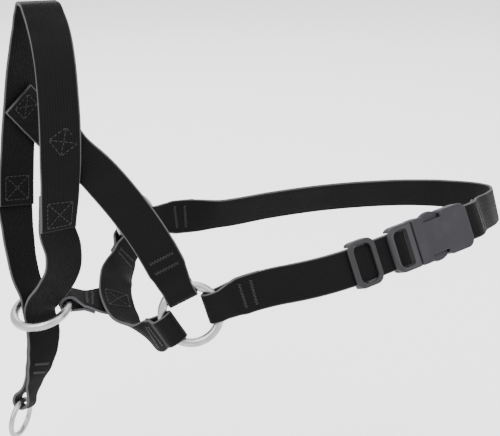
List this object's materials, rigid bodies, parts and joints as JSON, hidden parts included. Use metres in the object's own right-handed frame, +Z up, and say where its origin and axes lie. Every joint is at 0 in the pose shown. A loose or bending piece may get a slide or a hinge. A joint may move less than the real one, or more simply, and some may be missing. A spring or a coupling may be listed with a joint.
{
  "type": "dog head halter",
  "caption": "Webbing head halter: muzzle loop running through a chin ring to a leash ring, cheek and throat straps, and a neck strap with a slide adjuster and side-release buckle.",
  "frame": {"origin": "centre of the inner face of the nose band at its crown, where it rests on the bridge of the muzzle", "axes": "-X towards the nose, +X towards the nape, -Y the dog's left, +Z up"},
  "size_m": [0.3052, 0.1342, 0.2325],
  "materials": {
    "webbing": "black woven nylon, matt",
    "thread": "black bonded thread",
    "ring_steel": "nickel plated, satin",
    "moulding": "dark grey acetal, fine satin"
  },
  "bodies": {
    "straps": {"nose_band": "webbing", "slip_strap": "webbing", "chin_link_strap": "webbing", "left_cheek_strap": "webbing", "right_cheek_strap": "webbing", "throat_strap": "webbing", "left_neck_strap": "webbing", "right_neck_strap": "webbing", "buckle_insert": "moulding", "left_nose_seam": "thread", "right_nose_seam": "thread", "left_cheek_nose_seam": "thread", "right_cheek_nose_seam": "thread", "left_cheek_ring_seam": "thread", "right_cheek_ring_seam": "thread", "left_throat_ring_seam": "thread", "right_throat_ring_seam": "thread", "chin_link_ring_seam": "thread", "chin_link_throat_seam": "thread", "left_neck_ring_seam": "thread", "right_neck_ring_seam": "thread"},
    "buckle_half": {"buckle_socket": "moulding", "socket_seam": "thread"},
    "upper_arm": {"buckle_arm_upper": "moulding"},
    "lower_arm": {"buckle_arm_lower": "moulding"},
    "adjuster": {"tri_glide": "moulding"},
    "left_ring": {"left_cheek_ring": "ring_steel"},
    "right_ring": {"right_cheek_ring": "ring_steel"},
    "chin": {"chin_ring": "ring_steel"},
    "slip": {"leash_fold_seam": "thread"},
    "leash": {"leash_ring": "ring_steel"}
  },
  "joints": [
    {"name": "buckle_release", "type": "slide", "parent": "straps", "child": "buckle_half", "axis": [0.9722, 0.2022, 0.1181], "range_m": [0, 0.026], "deforming": ["right_neck_strap", "buckle_arm_upper", "buckle_arm_lower"]},
    {"name": "upper_arm_press", "type": "hinge", "parent": "straps", "child": "upper_arm", "pos_m": [0.18459, -0.05105, -0.12311], "axis": [-0.1457, 0.9171, -0.371], "range_deg": [0, 6], "stiffness_Nm_per_rad": 0.5},
    {"name": "lower_arm_press", "type": "hinge", "parent": "straps", "child": "lower_arm", "pos_m": [0.18738, -0.05627, -0.13711], "axis": [0.1457, -0.9171, 0.371], "range_deg": [0, 6], "stiffness_Nm_per_rad": 0.5},
    {"name": "adjuster_travel", "type": "hinge", "parent": "straps", "child": "adjuster", "pos_m": [0.13499, 0.02192, -0.14457], "axis": [0.1394, -0.0944, -0.9857], "range_deg": [0, 24]},
    {"name": "left_ring_turn", "type": "hinge", "parent": "straps", "child": "left_ring", "pos_m": [0.059, -0.05, -0.153], "axis": [-0.3008, -0.9324, 0.2005], "continuous": true},
    {"name": "right_ring_turn", "type": "hinge", "parent": "straps", "child": "right_ring", "pos_m": [0.0605, 0.05, -0.134], "axis": [-0.5512, 0.7876, -0.2756], "continuous": true},
    {"name": "chin_ring_turn", "type": "hinge", "parent": "straps", "child": "chin", "pos_m": [-0.0075, 0, -0.159], "axis": [-0.2778, -0.1919, 0.9413], "continuous": true},
    {"name": "slip_travel", "type": "slide", "parent": "straps", "child": "slip", "axis": [-0.1458, 0.0104, -0.9893], "range_m": [0, 0.014], "deforming": ["slip_strap"]},
    {"name": "leash_ring_swing", "type": "hinge", "parent": "slip", "child": "leash", "pos_m": [-0.0195, 0.001, -0.2105], "axis": [0.5815, 0.7519, -0.3108], "range_deg": [-40, 40]}
  ]
}
